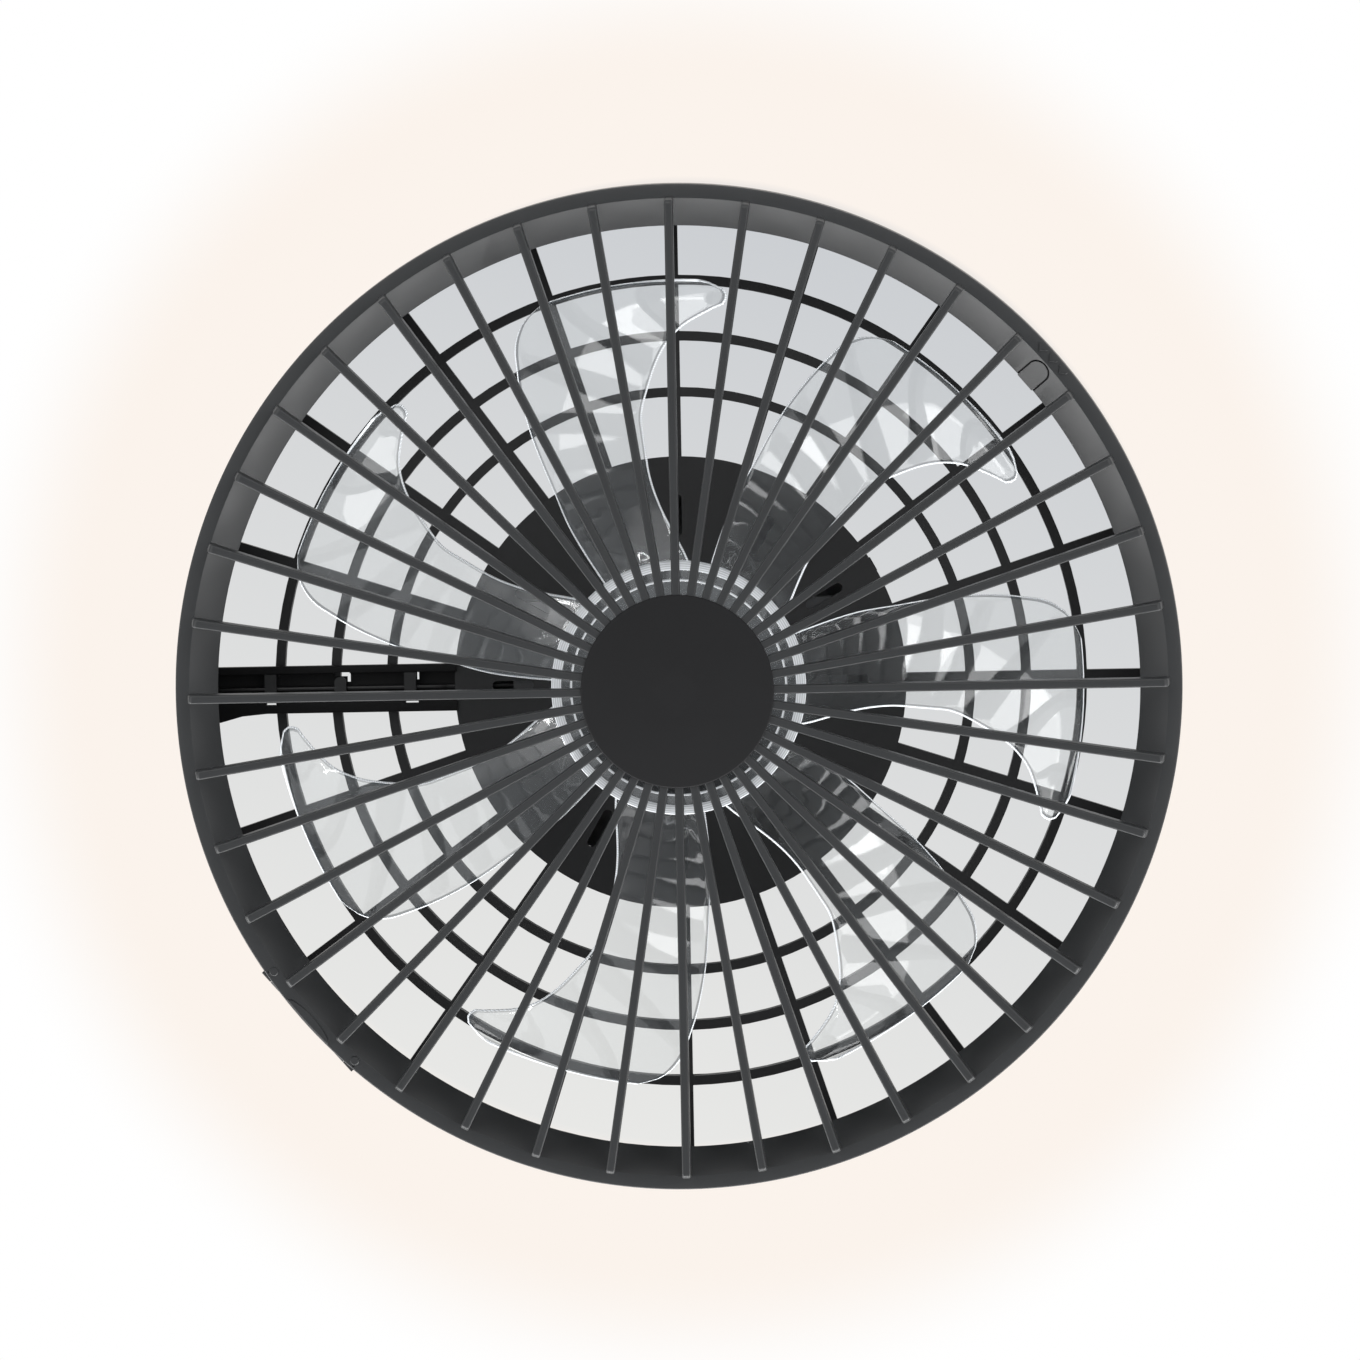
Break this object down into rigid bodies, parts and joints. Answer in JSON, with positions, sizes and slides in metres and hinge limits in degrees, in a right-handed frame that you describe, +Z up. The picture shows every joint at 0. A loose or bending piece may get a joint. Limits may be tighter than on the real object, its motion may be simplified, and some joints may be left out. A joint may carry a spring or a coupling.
{
  "type": "caged ceiling fan",
  "caption": "Flush ceiling fan with clear swept blades in a round black cage, a drop-down ribbed guard with a press latch, and a light ring that washes the ceiling.",
  "frame": {"origin": "centre of the ceiling screw circle, on the ceiling plane", "axes": "+Z up into the ceiling along the impeller's shaft; the cable duct runs along -X and the guard opens on a hinge at 138 degrees from +X"},
  "size_m": [0.5, 0.5, 0.2],
  "materials": {
    "zinc_steel": "zinc plated",
    "rubber": "moulded",
    "pale_plastic": "moulded",
    "canopy_paint": "satin black powder coat",
    "screw_steel": "plated",
    "plate_plastic": "moulded, fine grain",
    "grille_plastic": "moulded, satin",
    "drum_plastic": "moulded, fine grain",
    "tray_aluminium": "pressed",
    "strip_white": "solder mask",
    "chip_phosphor": "moulded",
    "opal_plastic": "opal, frosted",
    "cable_sheath": "extruded",
    "box_plastic": "moulded",
    "motor_aluminium": "die cast",
    "lamination_steel": "stamped",
    "winding_copper": "enamelled wire",
    "bearing_steel": "ground",
    "rotor_steel": "drawn",
    "magnet_ferrite": "sintered ferrite",
    "clear_plastic": "clear, polished mould",
    "nut_plastic": "moulded",
    "guard_plastic": "moulded, satin"
  },
  "bodies": {
    "housing": {"ceiling_bracket": "zinc_steel", "cable_grommet": "rubber", "terminal_block": "pale_plastic", "canopy": "canopy_paint", "canopy_screws": "screw_steel", "hub_screws": "screw_steel", "motor_plate": "plate_plastic", "rear_grille": "grille_plastic", "grille_screws": "screw_steel", "housing_drum": "drum_plastic", "led_tray": "tray_aluminium", "led_strip": "strip_white", "led_chips": "chip_phosphor", "diffuser_ring": "opal_plastic", "cable_duct": "grille_plastic", "duct_clips": "grille_plastic", "led_cable": "cable_sheath", "led_driver": "box_plastic", "remote_receiver": "box_plastic", "motor_base": "motor_aluminium", "motor_screws": "screw_steel", "motor_dampers": "rubber", "motor_stator": "lamination_steel", "motor_windings": "winding_copper", "upper_bearing": "bearing_steel", "lower_bearing": "bearing_steel", "latch_keeper": "drum_plastic", "hinge_pins": "screw_steel"},
    "impeller": {"rotor_can": "rotor_steel", "rotor_magnets": "magnet_ferrite", "motor_shaft": "bearing_steel", "impeller_hub": "clear_plastic", "blade_1": "clear_plastic", "blade_2": "clear_plastic", "blade_3": "clear_plastic", "blade_4": "clear_plastic", "blade_5": "clear_plastic", "blade_6": "clear_plastic", "blade_7": "clear_plastic", "hub_washer": "screw_steel", "hub_nut": "nut_plastic"},
    "guard": {"front_guard": "guard_plastic", "hub_cap": "guard_plastic"},
    "latch": {"latch_tongue": "guard_plastic"}
  },
  "joints": [
    {"name": "impeller_spin", "type": "hinge", "parent": "housing", "child": "impeller", "pos_m": [0, 0, -0.14], "axis": [0, 0, -1], "continuous": true},
    {"name": "guard_swing", "type": "hinge", "parent": "housing", "child": "guard", "pos_m": [-0.18319, 0.16494, -0.166], "axis": [0.6691, 0.7431, 0], "range_deg": [0, 90]},
    {"name": "latch_press", "type": "hinge", "parent": "guard", "child": "latch", "pos_m": [0.17316, -0.1532, -0.1575], "axis": [-0.6626, -0.749, 0], "range_deg": [0, 5], "stiffness_Nm_per_rad": 1.8}
  ]
}
